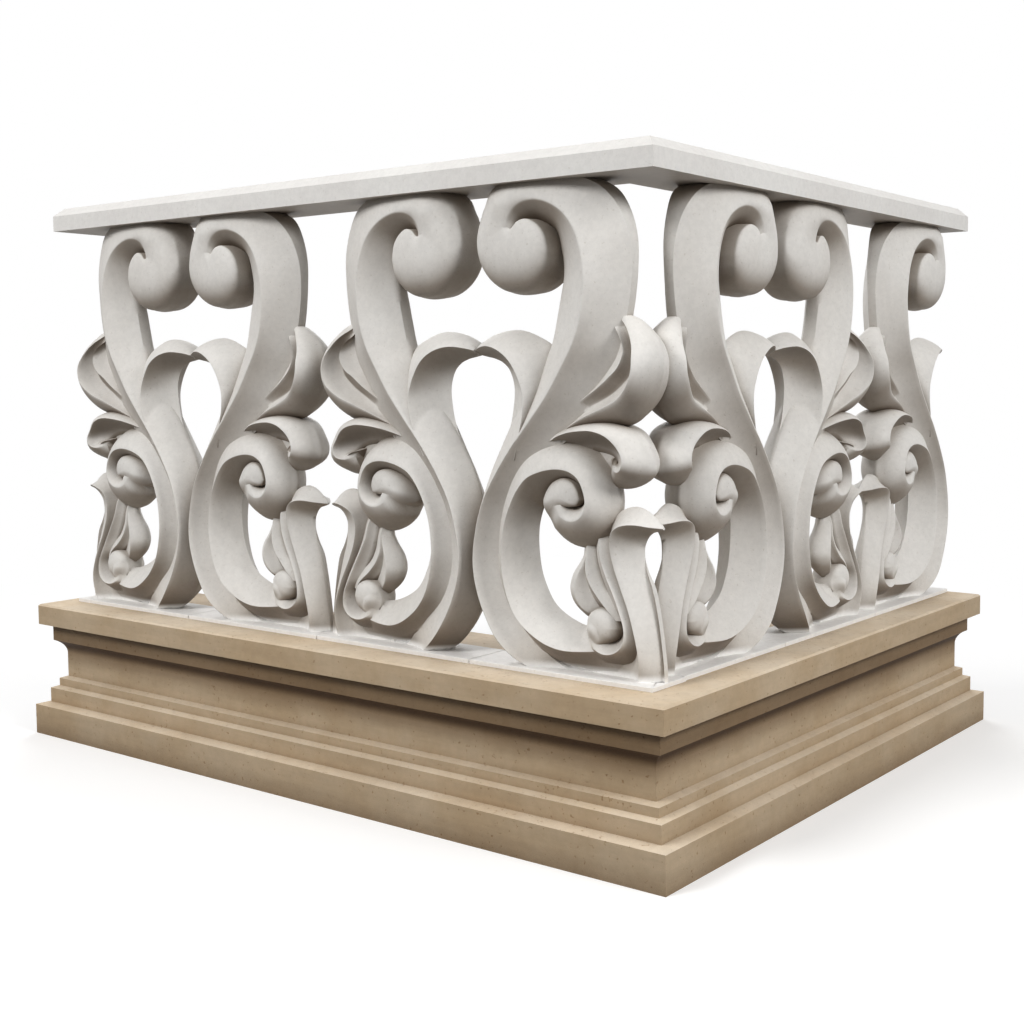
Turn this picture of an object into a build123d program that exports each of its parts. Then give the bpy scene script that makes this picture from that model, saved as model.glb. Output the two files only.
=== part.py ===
from build123d import *
import os

# ---------------------------------------------------------------------------
# Corner length of a stone balustrade: a moulded plinth, seven scrolled
# balusters and a bevelled handrail, running along -X (left arm, front to -Y)
# and along +Y (right arm, front to +X) from one mitred corner.
# Origin: underside of the foot course, below the crossing of the two
# baluster centrelines.  Z is up.  Millimetres.
# ---------------------------------------------------------------------------

# heights of the courses
FOOT_RISE = 56.0
LOWER_STEP_RISE = 31.0
UPPER_STEP_RISE = 18.0
DADO_RISE = 49.0
CAVETTO_RISE = 25.0
FILLET_RISE = 32.0
CAP_RISE = 38.5
PLATE_THICKNESS = 6.5
BALUSTER_RISE = 701.0
RAIL_FACE_RISE = 28.0
RAIL_BEVEL = 15.0
WEATHERING = 4.0

# projections of the courses in front of the baluster centreline
FOOT_PROJECTION = 114.3
LOWER_STEP_PROJECTION = 94.3
UPPER_STEP_PROJECTION = 82.4
DADO_PROJECTION = 70.6
FILLET_PROJECTION = 88.5
CAP_PROJECTION = 106.8
RAIL_PROJECTION = 61.0
PLATE_PROJECTION = 43.0

# the plinth is deeper behind the balusters than in front of them
PLINTH_BACK_SET = 48.2

# lengths: the corner baluster of the left arm reaches past the crossing, the
# first of the right arm starts just after it, and the plinth and the rail
# stop short of the last joint by the part that their end faces then add
BAY = 334.0
LEFT_BAYS = 4
RIGHT_BAYS = 3
CORNER_REACH = 47.0
CORNER_START = 8.0
LEFT_PLINTH_STOP = 70.7
RIGHT_PLINTH_STOP = 97.5
LEFT_RAIL_STOP = 46.5
RIGHT_RAIL_STOP = 28.0

# baluster
SCROLL_HALF_DEPTH = 40.0
CAP_EDGE_ROUNDING = 3.0
SCRIBE_CLEARANCE = 0.6

# ---------------------------------------------------------------------------
# levels worked out from the rises
# ---------------------------------------------------------------------------
LEDGE_1 = FOOT_RISE + WEATHERING
LEDGE_2 = LEDGE_1 + LOWER_STEP_RISE
LEDGE_3 = LEDGE_2 + UPPER_STEP_RISE
DADO_TOP = LEDGE_3 + DADO_RISE - WEATHERING
FILLET_BOTTOM = DADO_TOP + CAVETTO_RISE
CAP_BOTTOM = FILLET_BOTTOM + FILLET_RISE
CAP_TOP = CAP_BOTTOM + CAP_RISE
PLATE_TOP = CAP_TOP + PLATE_THICKNESS
RAIL_BOTTOM = PLATE_TOP + BALUSTER_RISE
RAIL_SHOULDER = RAIL_BOTTOM + RAIL_FACE_RISE
RAIL_TOP = RAIL_SHOULDER + RAIL_BEVEL

# ---------------------------------------------------------------------------
# distances along the arms
# ---------------------------------------------------------------------------
LEFT_FIRST_JOINT = BAY - CORNER_REACH
RIGHT_FIRST_JOINT = BAY + CORNER_START
LEFT_LAST_JOINT = LEFT_BAYS * BAY - CORNER_REACH
RIGHT_LAST_JOINT = RIGHT_BAYS * BAY + CORNER_START

ARMS = ("left", "right")
PLINTH_RUN = {"left": LEFT_LAST_JOINT - LEFT_PLINTH_STOP, "right": RIGHT_LAST_JOINT - RIGHT_PLINTH_STOP}
RAIL_RUN = {"left": LEFT_LAST_JOINT - LEFT_RAIL_STOP, "right": RIGHT_LAST_JOINT - RIGHT_RAIL_STOP}

os.makedirs("parts", exist_ok=True)


def on_arm(arm, along, out):
    """Plan position of a point `along` the arm and `out` in front of its centreline."""
    if arm == "left":
        return (-along, -out)
    return (out, along)


def arm_plan(arm, run, front, back):
    """Plan outline of a course: mitred at the corner, square at the far end."""
    return [
        on_arm(arm, -front, front),
        on_arm(arm, run + front, front),
        on_arm(arm, run + front, -back),
        on_arm(arm, back, -back),
    ]


def save(node, label):
    node.part.label = label
    export_step(node.part, "parts/" + label + ".step")


# ---------------------------------------------------------------------------
# plinth courses and rail, one block for each arm
# ---------------------------------------------------------------------------
def stepped_block(label, arm, run, front, back_set, bottom, shoulder, top, inset):
    """Course with a vertical face and a weathered or bevelled top edge."""
    with BuildPart() as block:
        with BuildSketch(Plane.XY.offset(bottom)):
            with BuildLine():
                Polyline(*arm_plan(arm, run, front, front + back_set), close=True)
            make_face()
        extrude(amount=shoulder - bottom)
        if top > shoulder:
            with BuildSketch(Plane.XY.offset(shoulder)):
                with BuildLine():
                    Polyline(*arm_plan(arm, run, front, front + back_set), close=True)
                make_face()
            with BuildSketch(Plane.XY.offset(top)):
                with BuildLine():
                    Polyline(*arm_plan(arm, run, front - inset, front + back_set - inset), close=True)
                make_face()
            loft(ruled=True)
    save(block, label + "_" + arm)


def cornice_block(label, arm, run, face, lip, back_set, bottom, lip_bottom, top):
    """Cavetto springing from the dado face and closed by a square fillet."""
    throw = lip - face
    rise = lip_bottom - bottom
    with BuildPart() as block:
        with BuildSketch(Plane.XY.offset(bottom)):
            with BuildLine():
                Polyline(*arm_plan(arm, run, face, face + back_set), close=True)
            make_face()
        extrude(amount=top - bottom)
        with BuildLine() as girdle:
            Polyline(
                on_arm(arm, -face - lip, face) + (bottom,),
                on_arm(arm, run + face, face) + (bottom,),
                on_arm(arm, run + face, -face - back_set) + (bottom,),
                on_arm(arm, face - lip, -face - back_set) + (bottom,),
            )
        start = Plane(origin=girdle.line @ 0, x_dir=on_arm(arm, 0, 1) + (0,), z_dir=on_arm(arm, 1, 0) + (0,))
        up = 1 if start.y_dir.Z > 0 else -1
        with BuildSketch(start):
            with BuildLine():
                RadiusArc((0, 0), (throw, up * rise), up * (throw * throw + rise * rise) / (2 * throw))
                Line((throw, up * rise), (throw, up * (top - bottom)))
                Line((throw, up * (top - bottom)), (0, up * (top - bottom)))
                Line((0, up * (top - bottom)), (0, 0))
            make_face()
        sweep(path=girdle.line, transition=Transition.RIGHT)
        mitre = Plane(origin=(0, 0, 0), z_dir=(1, 1, 0))
        split(bisect_by=mitre, keep=Keep.BOTTOM if arm == "left" else Keep.TOP)
    save(block, label + "_" + arm)


for arm in ARMS:
    run = PLINTH_RUN[arm]
    stepped_block("foot_course", arm, run, FOOT_PROJECTION, PLINTH_BACK_SET,
                  0, FOOT_RISE, LEDGE_1, FOOT_PROJECTION - LOWER_STEP_PROJECTION)
    stepped_block("lower_step", arm, run, LOWER_STEP_PROJECTION, PLINTH_BACK_SET,
                  LEDGE_1, LEDGE_2 - WEATHERING, LEDGE_2, LOWER_STEP_PROJECTION - UPPER_STEP_PROJECTION)
    stepped_block("upper_step", arm, run, UPPER_STEP_PROJECTION, PLINTH_BACK_SET,
                  LEDGE_2, LEDGE_3 - WEATHERING, LEDGE_3, UPPER_STEP_PROJECTION - DADO_PROJECTION)
    stepped_block("dado", arm, run, DADO_PROJECTION, PLINTH_BACK_SET,
                  LEDGE_3, DADO_TOP, DADO_TOP, 0)
    cornice_block("cornice", arm, run, DADO_PROJECTION, FILLET_PROJECTION, PLINTH_BACK_SET,
                  DADO_TOP, FILLET_BOTTOM, CAP_BOTTOM)
    stepped_block("cap_slab", arm, run, CAP_PROJECTION, PLINTH_BACK_SET,
                  CAP_BOTTOM, CAP_TOP - CAP_EDGE_ROUNDING, CAP_TOP, CAP_EDGE_ROUNDING)
    stepped_block("handrail", arm, RAIL_RUN[arm], RAIL_PROJECTION, 0,
                  RAIL_BOTTOM, RAIL_SHOULDER, RAIL_TOP, RAIL_BEVEL)

# ---------------------------------------------------------------------------
# scrolled baluster
#
# Drawn in its own bay: `a` runs from the joint plane on the belly side (0)
# to the joint plane on the leafy side (100), `h` from the base plate (0) to
# the underside of the rail (100), `d` is a share of the half depth.
# Every band is a loft through lozenge sections that stand square to the
# bay: a low corner on each side and one or two raised ridges between them,
# the same on the front and on the back.
# ---------------------------------------------------------------------------


def bay_point(a, h, d):
    return Vector(a / 100 * BAY, d * SCROLL_HALF_DEPTH, PLATE_TOP + h / 100 * BALUSTER_RISE)


def lozenge(side_a, side_b, ridge_a, ridge_b, rise_a, rise_b, edge_a, edge_b, grow):
    """Plane and corners of a section from side_a to side_b, ridges at two shares of its width."""
    start = bay_point(side_a[0], side_a[1], 0)
    across = bay_point(side_b[0], side_b[1], 0) - start
    width = across.length
    half = SCROLL_HALF_DEPTH
    front = [(0, edge_a * half), (ridge_a * width, rise_a * half),
             (ridge_b * width, rise_b * half), (width, edge_b * half)]
    corners = [Vector(x, y) for x, y in front] + [Vector(x, -y) for x, y in reversed(front)]
    middle = Vector(width / 2, 0)
    corners = [corner + (corner - middle).normalized() * grow for corner in corners]
    return Plane(origin=start, x_dir=across, z_dir=across.cross(Vector(0, 1, 0))), corners


def band(stations, grow=0.0):
    """Loft through lozenge sections."""
    with BuildPart() as ribbon:
        for station in stations:
            plane, corners = lozenge(*station, grow)
            with BuildSketch(plane):
                with BuildLine():
                    Polyline(*corners, close=True)
                make_face()
        loft(ruled=True)
    return ribbon.part


# top volute, stem, belly and the open curl at the bottom
MAIN_BAND = [
    ((33.0, 84.5), (34.0, 78.0), 0.30, 0.60, 0.75, 0.60, 0.50, 0.20),
    ((31.0, 85.0), (20.0, 78.5), 0.30, 0.60, 0.80, 0.62, 0.50, 0.20),
    ((29.5, 86.0), (7.5, 82.5), 0.30, 0.60, 0.84, 0.66, 0.50, 0.20),
    ((28.5, 87.6), (2.1, 89.6), 0.30, 0.60, 0.88, 0.70, 0.50, 0.20),
    ((30.0, 89.8), (7.5, 95.4), 0.30, 0.60, 0.92, 0.72, 0.40, 0.14),
    ((34.0, 91.0), (19.0, 99.6), 0.34, 0.62, 0.97, 0.70, 0.30, 0.10),
    ((40.7, 90.9), (38.5, 101.0), 0.55, 0.68, 1.00, 0.70, 0.12, 0.16),
    ((45.5, 89.7), (58.0, 100.2), 0.45, 0.60, 1.00, 0.74, 0.12, 0.10),
    ((48.8, 87.9), (75.0, 95.9), 0.46, 0.62, 1.00, 0.74, 0.12, 0.10),
    ((48.5, 85.4), (83.0, 90.2), 0.45, 0.62, 1.00, 0.74, 0.12, 0.10),
    ((47.3, 82.7), (85.0, 84.0), 0.50, 0.66, 1.00, 0.74, 0.12, 0.10),
    ((46.1, 77.9), (84.1, 77.6), 0.53, 0.68, 1.00, 0.74, 0.12, 0.10),
    ((43.1, 71.5), (80.2, 69.8), 0.54, 0.68, 1.00, 0.76, 0.12, 0.10),
    ((38.9, 65.5), (71.9, 61.9), 0.53, 0.68, 1.00, 0.78, 0.12, 0.12),
    ((31.4, 59.3), (61.4, 54.8), 0.53, 0.70, 1.00, 0.86, 0.14, 0.20),
    ((22.5, 52.6), (49.4, 47.6), 0.42, 0.78, 1.00, 0.92, 0.16, 0.30),
    ((11.4, 44.8), (40.4, 39.1), 0.36, 0.82, 1.00, 0.98, 0.24, 0.14),
    ((1.5, 35.9), (35.3, 33.4), 0.27, 0.70, 0.98, 1.00, 0.40, 0.10),
    ((0.0, 27.4), (32.0, 27.0), 0.16, 0.66, 0.94, 1.00, 0.50, 0.10),
    ((0.0, 19.8), (32.9, 21.3), 0.15, 0.65, 0.94, 1.00, 0.50, 0.10),
    ((3.0, 11.3), (38.3, 15.1), 0.17, 0.63, 0.94, 0.97, 0.36, 0.10),
    ((12.6, 3.7), (46.4, 12.3), 0.20, 0.60, 0.90, 0.88, 0.30, 0.10),
    ((31.4, 0.0), (53.9, 11.3), 0.16, 0.52, 0.76, 0.70, 0.40, 0.10),
    ((52.4, 0.0), (61.4, 11.0), 0.15, 0.50, 0.62, 0.52, 0.40, 0.10),
    ((71.9, 0.0), (70.4, 11.0), 0.15, 0.50, 0.55, 0.45, 0.40, 0.10),
]

# band of the middle volute, springing from the fork of the stem
MIDDLE_BAND = [
    ((38.3, 36.5), (41.9, 47.9), 0.35, 0.60, 0.98, 0.80, 0.30, 0.20),
    ((44.9, 37.4), (50.3, 47.6), 0.42, 0.62, 0.98, 0.74, 0.20, 0.10),
    ((52.4, 37.7), (60.8, 46.5), 0.48, 0.66, 0.98, 0.74, 0.20, 0.10),
    ((56.9, 36.5), (70.4, 42.2), 0.50, 0.68, 0.98, 0.74, 0.20, 0.10),
    ((58.7, 34.8), (73.1, 35.5), 0.54, 0.70, 0.98, 0.74, 0.20, 0.10),
    ((57.5, 33.4), (67.4, 28.8), 0.42, 0.66, 0.94, 0.70, 0.30, 0.10),
    ((55.7, 33.1), (54.5, 26.8), 0.30, 0.60, 0.86, 0.66, 0.40, 0.14),
    ((53.9, 33.7), (43.4, 29.1), 0.30, 0.60, 0.80, 0.62, 0.40, 0.20),
]

# leaf that turns from the stem to its mirror twin across the joint
INNER_LEAF = [
    ((0.3, 65.2), (1.2, 66.7), 0.45, 0.60, 0.45, 0.40, 0.20, 0.16),
    ((7.2, 64.8), (9.0, 69.0), 0.45, 0.62, 0.70, 0.56, 0.16, 0.10),
    ((13.8, 63.1), (21.6, 70.6), 0.45, 0.62, 0.82, 0.66, 0.14, 0.10),
    ((18.0, 59.8), (35.3, 69.3), 0.46, 0.62, 0.90, 0.74, 0.14, 0.10),
    ((19.2, 55.9), (44.9, 65.0), 0.45, 0.62, 0.94, 0.80, 0.14, 0.12),
    ((18.6, 51.9), (48.0, 58.5), 0.46, 0.64, 0.94, 0.84, 0.14, 0.20),
    ((20.0, 49.0), (44.0, 53.0), 0.46, 0.64, 0.90, 0.80, 0.20, 0.30),
]

# large leaf on the outer side, cupped upward
OUTER_LEAF = [
    ((56.9, 58.8), (64.4, 50.5), 0.40, 0.60, 0.74, 0.70, 0.30, 0.20),
    ((69.5, 59.9), (80.8, 53.1), 0.38, 0.60, 0.84, 0.74, 0.30, 0.20),
    ((77.2, 61.9), (93.4, 55.9), 0.38, 0.60, 0.90, 0.76, 0.30, 0.30),
    ((80.2, 64.5), (99.8, 61.9), 0.33, 0.60, 0.90, 0.76, 0.30, 0.44),
    ((79.6, 67.0), (97.6, 67.3), 0.33, 0.60, 0.80, 0.66, 0.30, 0.30),
    ((78.4, 69.3), (89.8, 70.8), 0.30, 0.60, 0.60, 0.50, 0.24, 0.20),
    ((78.4, 71.2), (81.4, 71.9), 0.30, 0.60, 0.34, 0.30, 0.20, 0.16),
]

# smaller leaf below it, rolled to a knob
OUTER_CURL = [
    ((47.9, 45.1), (44.9, 49.4), 0.40, 0.60, 0.55, 0.55, 0.20, 0.20),
    ((63.5, 45.9), (63.5, 52.5), 0.40, 0.62, 0.80, 0.86, 0.30, 0.14),
    ((74.3, 45.4), (79.3, 52.2), 0.36, 0.60, 0.88, 0.88, 0.40, 0.14),
    ((79.6, 45.1), (93.4, 50.2), 0.34, 0.60, 0.95, 0.82, 0.40, 0.20),
    ((80.2, 44.2), (99.8, 45.1), 0.27, 0.60, 0.95, 0.76, 0.40, 0.40),
    ((80.2, 43.7), (95.2, 40.2), 0.25, 0.60, 0.90, 0.70, 0.40, 0.20),
    ((78.4, 43.4), (86.2, 39.1), 0.25, 0.60, 0.70, 0.56, 0.40, 0.20),
]

# draped foot under the middle volute
FOOT_DRAPE = [
    ((63.5, 0.0), (98.2, 0.0), 0.30, 0.66, 0.86, 0.90, 0.50, 0.60),
    ((59.9, 6.3), (97.6, 6.3), 0.30, 0.66, 0.78, 0.82, 0.30, 0.40),
    ((53.3, 12.7), (95.2, 12.0), 0.30, 0.66, 0.74, 0.78, 0.20, 0.30),
    ((50.0, 18.4), (90.7, 18.0), 0.30, 0.66, 0.74, 0.76, 0.20, 0.20),
    ((53.9, 24.1), (87.7, 24.1), 0.30, 0.66, 0.76, 0.74, 0.20, 0.20),
    ((58.4, 28.4), (86.8, 29.8), 0.30, 0.66, 0.70, 0.66, 0.20, 0.20),
    ((62.9, 32.0), (82.0, 34.0), 0.30, 0.66, 0.50, 0.46, 0.20, 0.20),
]

# leaf of the foot, its tip curling outward
FOOT_LEAF = [
    ((67.4, 24.8), (87.4, 24.1), 0.40, 0.66, 0.66, 0.60, 0.20, 0.20),
    ((70.4, 32.0), (87.7, 28.4), 0.40, 0.66, 0.66, 0.60, 0.20, 0.20),
    ((78.4, 35.7), (89.8, 30.5), 0.40, 0.66, 0.64, 0.56, 0.20, 0.20),
    ((88.3, 34.8), (93.4, 31.4), 0.40, 0.66, 0.56, 0.50, 0.20, 0.20),
    ((96.4, 32.5), (98.8, 31.1), 0.40, 0.66, 0.34, 0.30, 0.20, 0.20),
]

# rounded ends of the three volutes: centre a, centre h, radius as a share
# of the bay, half depth as a share of the half depth of the scroll
BOSSES = [
    (30.8, 85.2, 0.156, 0.86),
    (53.7, 33.7, 0.138, 0.88),
    (72.6, 10.3, 0.085, 0.70),
]


def boss(a, h, radius_share, depth_share):
    """Cushion-shaped end of a volute, turned about the depth axis."""
    centre = bay_point(a, h, 0)
    radius = radius_share * BAY
    half = depth_share * SCROLL_HALF_DEPTH
    rim = half / 3
    with BuildPart() as cushion:
        with BuildSketch(Plane.XY):
            with BuildLine():
                Polyline((radius, rim), (radius, -rim), (0.8 * radius, -0.76 * half), (0.46 * radius, -0.95 * half),
                         (0, -half), (0, half), (0.46 * radius, 0.95 * half), (0.8 * radius, 0.76 * half), close=True)
            make_face()
        revolve(axis=Axis.Y)
    return cushion.part.moved(Location(centre))


def carve(plate_first, plate_last):
    """One baluster in its own bay, standing on its thin base plate."""
    with BuildPart() as stone:
        with Locations(((plate_first + plate_last) / 2, 0, CAP_TOP)):
            Box(plate_last - plate_first, 2 * PLATE_PROJECTION, PLATE_THICKNESS,
                align=(Align.CENTER, Align.CENTER, Align.MIN))
        for stations in (MAIN_BAND, MIDDLE_BAND, INNER_LEAF, OUTER_LEAF, OUTER_CURL, FOOT_DRAPE, FOOT_LEAF):
            add(band(stations))
        for cushion_sizes in BOSSES:
            add(boss(*cushion_sizes))
        split(bisect_by=Plane.XY.offset(RAIL_BOTTOM), keep=Keep.BOTTOM)
    return stone.part


PLAIN = carve(0, BAY)
TURNED = PLAIN.mirror(Plane.YZ)


def place_baluster(label, blank, place):
    with BuildPart() as stone:
        with Locations(place):
            add(blank)
    save(stone, label)


for number in range(LEFT_BAYS):
    place = Location((-LEFT_FIRST_JOINT - 2 * (number // 2) * BAY, 0, 0))
    place_baluster("baluster_left_%d" % (number + 1), (PLAIN, TURNED)[number % 2], place)

for number in range(1, RIGHT_BAYS):
    place = Location((0, RIGHT_FIRST_JOINT + 2 * (number // 2) * BAY, 0), (0, 0, -90))
    place_baluster("baluster_right_%d" % (number + 1), (PLAIN, TURNED)[number % 2], place)

# the first baluster of the right arm butts against the corner one: its plate stops
# at the back of the corner plate and its leaves are scribed over the corner leaves
with BuildPart() as baluster_right_1:
    with Locations(Location((0, RIGHT_FIRST_JOINT, 0), (0, 0, -90))):
        add(carve(0, RIGHT_FIRST_JOINT - PLATE_PROJECTION))
    with Locations((-LEFT_FIRST_JOINT, 0, 0)):
        for stations in (MAIN_BAND, MIDDLE_BAND, OUTER_LEAF, OUTER_CURL, FOOT_DRAPE, FOOT_LEAF):
            add(band(stations, SCRIBE_CLEARANCE), mode=Mode.SUBTRACT)
save(baluster_right_1, "baluster_right_1")
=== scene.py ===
import bmesh
import bpy
import math
import numpy as np
from mathutils import Matrix, Vector


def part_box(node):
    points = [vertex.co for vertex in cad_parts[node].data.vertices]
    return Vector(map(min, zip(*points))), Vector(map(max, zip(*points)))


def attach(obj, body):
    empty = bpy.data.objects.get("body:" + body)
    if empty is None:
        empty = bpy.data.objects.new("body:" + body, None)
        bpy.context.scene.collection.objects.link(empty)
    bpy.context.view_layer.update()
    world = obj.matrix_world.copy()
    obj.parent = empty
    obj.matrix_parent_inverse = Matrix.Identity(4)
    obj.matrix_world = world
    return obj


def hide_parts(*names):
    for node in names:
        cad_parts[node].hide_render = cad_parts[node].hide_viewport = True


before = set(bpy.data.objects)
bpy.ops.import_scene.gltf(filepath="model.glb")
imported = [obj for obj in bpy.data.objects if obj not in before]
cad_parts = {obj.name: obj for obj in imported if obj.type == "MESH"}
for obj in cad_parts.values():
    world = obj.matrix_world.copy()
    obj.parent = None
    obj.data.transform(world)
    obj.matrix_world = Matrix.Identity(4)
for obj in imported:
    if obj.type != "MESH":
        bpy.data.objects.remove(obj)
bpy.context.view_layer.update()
scene = bpy.context.scene

# ---------------------------------------------------------------------------
# what the frame says about the balusters, in metres
# ---------------------------------------------------------------------------
LEFT_NAMES = ["baluster_left_%d" % n for n in (1, 2, 3, 4)]
RIGHT_NAMES = ["baluster_right_%d" % n for n in (1, 2, 3)]
low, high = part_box("baluster_left_2")
BAY = high.x - low.x
PLATE_HALF = (high.y - low.y) / 2
PLATE_BOTTOM = low.z
RAIL_BOTTOM = high.z
JOINT_LEFT = high.x
JOINT_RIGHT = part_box("baluster_right_2")[0].y
CORNICE_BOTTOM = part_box("cornice_left")[0].z

# the base plates, with a fine joint between neighbours
PLATE_THICKNESS = 0.0065
PLATE_TOP = PLATE_BOTTOM + PLATE_THICKNESS
PLATE_GAP = 0.0009
PLATE_EDGE = 0.0008

# the carving's depth on each side of its middle, and how far that middle
# stands in front of the plate's
HALF_DEPTH = 0.0445
FORWARD = 0.0045

# ---------------------------------------------------------------------------
# mesh building: bands whose rails are smooth curves in space
#
# A baluster is drawn in its own bay, in millimetres: u from the joint on the
# belly side, z above the floor, t the depth behind the front (0 front, MIDDLE
# the middle of the stone).  The back repeats the front.
# ---------------------------------------------------------------------------
MILLIMETRE = 0.001
MIDDLE = 40
TINY = 1e-9

# millimetres: a band's ridge is softened over ARRIS, a cushion's side swells by BELLY
ARRIS = 1.8
BELLY = 2.0


def place(points):
    """Bay millimetres to the baluster's own metres."""
    p = np.asarray(points, float)
    depth = (p[..., 2] / MIDDLE - 1) * HALF_DEPTH
    return np.stack([p[..., 0] * MILLIMETRE, depth, p[..., 1] * MILLIMETRE], -1)


def turned_over(rows):
    """The same points on the back of the stone."""
    rows = rows.copy()
    rows[..., 2] = 2 * MIDDLE - rows[..., 2]
    return rows


def spans(points):
    """Distances between neighbouring rows of points, and the length run up to each row."""
    gaps = np.linalg.norm((points[1:] - points[:-1]).reshape(len(points) - 1, -1), axis=1)
    return gaps, np.concatenate([[0], np.cumsum(gaps)])


def smooth_path(points, count):
    """Evenly spread points of a smooth curve through the given ones; rows may hold several rails."""
    p = np.asarray(points, float)
    n = len(p)
    gaps, run = spans(p)
    knots = np.concatenate([[0], np.cumsum(np.sqrt(np.maximum(gaps, 1e-6)))])
    shape = (-1,) + (1,) * (p.ndim - 1)
    step = np.diff(knots).reshape(shape)
    secant = (p[1:] - p[:-1]) / step
    slopes = np.zeros_like(p)
    slopes[1:-1] = (secant[:-1] * step[1:] + secant[1:] * step[:-1]) / (step[1:] + step[:-1])
    slopes[0] = 1.5 * secant[0] - 0.5 * slopes[1]
    slopes[-1] = 1.5 * secant[-1] - 0.5 * slopes[-2]
    where = np.interp(np.linspace(0, run[-1], count), run, knots)
    k = np.clip(np.searchsorted(knots, where, side="right") - 1, 0, n - 2)
    h = (knots[k + 1] - knots[k]).reshape(shape)
    s = (where - knots[k]).reshape(shape) / h
    return ((2 * s**3 - 3 * s**2 + 1) * p[k] + (s**3 - 2 * s**2 + s) * h * slopes[k]
            + (-2 * s**3 + 3 * s**2) * p[k + 1] + (s**3 - s**2) * h * slopes[k + 1])


def station_numbers(stations, count):
    """The station number, with its fraction, that each point of smooth_path reaches."""
    _, run = spans(np.asarray(stations, float))
    return np.interp(np.linspace(0, run[-1], count), run, np.arange(len(run)))


def make_mesh(name, rings):
    """Closed tube through rings of equal length, its ends fanned from their centres."""
    rings = np.asarray(rings)
    n, m = rings.shape[:2]
    vertices = list(map(tuple, rings.reshape(-1, 3)))
    faces = []
    for i in range(n - 1):
        for j in range(m):
            a, b = i * m + j, i * m + (j + 1) % m
            faces.append((a, b, b + m, a + m))
    for ring, flip in ((0, True), (n - 1, False)):
        hub = len(vertices)
        vertices.append(tuple(rings[ring].mean(0)))
        for j in range(m):
            a, b = ring * m + j, ring * m + (j + 1) % m
            faces.append((hub, b, a) if flip else (hub, a, b))
    mesh = bpy.data.meshes.new(name)
    mesh.from_pydata(vertices, [], faces)
    mesh.validate()
    turn_outward(mesh)
    piece = bpy.data.objects.new(name, mesh)
    scene.collection.objects.link(piece)
    return piece


def turn_outward(mesh):
    """Flips the faces where they point into the volume that they close."""
    volume = 0.0
    mesh.calc_loop_triangles()
    for tri in mesh.loop_triangles:
        a, b, c = (mesh.vertices[i].co for i in tri.vertices)
        volume += a.dot(b.cross(c))
    if volume < 0:
        mesh.flip_normals()


def across(rim, inner):
    """Direction, level with the face, in which a band's side looks."""
    lean = rim - inner
    lean[:, 2] = 0
    return lean / (np.linalg.norm(lean, axis=1, keepdims=True) + TINY)


def wall(start, end, outward, steps, bulge):
    """Rows between the front's edge and the back's, swelling outward by a share of the depth."""
    rows = []
    for s in np.linspace(0, 1, steps + 2)[1:-1]:
        reach = np.abs(end[:, 2:3] - start[:, 2:3]) * bulge * 4 * s * (1 - s)
        rows.append(start + (end - start) * s + outward * reach)
    return np.stack(rows, 1)


def band(name, stations, along, profile, side=3, side_bulge=0.25):
    """Band through stations; each holds the rails from one side of the front to the other.
    profile gives the points and the bulge (a share of the width) of each face between rails;
    a bulge that changes along the band is a list of (station, bulge).  Each ridge between
    two faces is softened.  side is the number of rows in each side wall."""
    rails = smooth_path(stations, along)
    reached = station_numbers(stations, along)
    flow = np.gradient(rails, axis=0)
    strips = []
    for i, (points, bulge) in enumerate(profile):
        if isinstance(bulge, list):
            bulge = np.interp(reached, [k for k, _ in bulge], [v for _, v in bulge])[:, None]
        a, b = rails[:, i], rails[:, i + 1]
        chord = b - a
        width = np.linalg.norm(chord, axis=1, keepdims=True) + TINY
        normal = np.cross((flow[:, i] + flow[:, i + 1]) / 2, chord)
        normal /= np.linalg.norm(normal, axis=1, keepdims=True) + TINY
        if normal[:, 2].mean() > 0:
            normal = -normal
        softened = np.clip(ARRIS / width, 0, 0.3)
        first = softened if i > 0 else 0 * softened
        last = softened if i < len(profile) - 1 else 0 * softened
        strip = []
        for s in np.linspace(0, 1, points):
            share = first + (1 - first - last) * s
            strip.append(a + chord * share + normal * width * bulge * 4 * share * (1 - share))
        strips.append(strip)
    front = strips[0]
    for ridge, strip in enumerate(strips[1:], 1):
        front = front + [0.5 * rails[:, ridge] + 0.25 * (front[-1] + strip[0])] + strip
    front = np.stack(front, 1)
    back = turned_over(front[:, ::-1])
    far = wall(front[:, -1], back[:, 0], across(front[:, -1], front[:, -3]), side, side_bulge)
    near = wall(back[:, -1], front[:, 0], across(front[:, 0], front[:, 2]), side, side_bulge)
    return make_mesh(name, place(np.concatenate([front, far, back, near], 1)))


def cushion(name, outline, centre, crown, power=2.3, turns=72, rings=14):
    """Domed end of a volute: outline rows are (u, z, t of the rim), all round the centre."""
    rim = smooth_path(list(outline) + [outline[0]], turns + 1)[:-1]
    hub = np.array(centre + (crown,), float)
    front = []
    for share in np.sin(np.linspace(0, math.pi / 2, rings + 1))[1:]:
        row = hub + (rim - hub) * share
        row[:, 2] = crown + (rim[:, 2] - crown) * (1 - (1 - share**power) ** (1 / power))
        front.append(row)
    back = [turned_over(row) for row in front]
    middle = []
    for s in (0.25, 0.5, 0.75):
        row = rim + across(rim, hub) * BELLY * math.sin(math.pi * s)
        row[:, 2] = rim[:, 2] + (2 * MIDDLE - 2 * rim[:, 2]) * s
        middle.append(row)
    return make_mesh(name, place(front + middle + back[::-1]))


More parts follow.
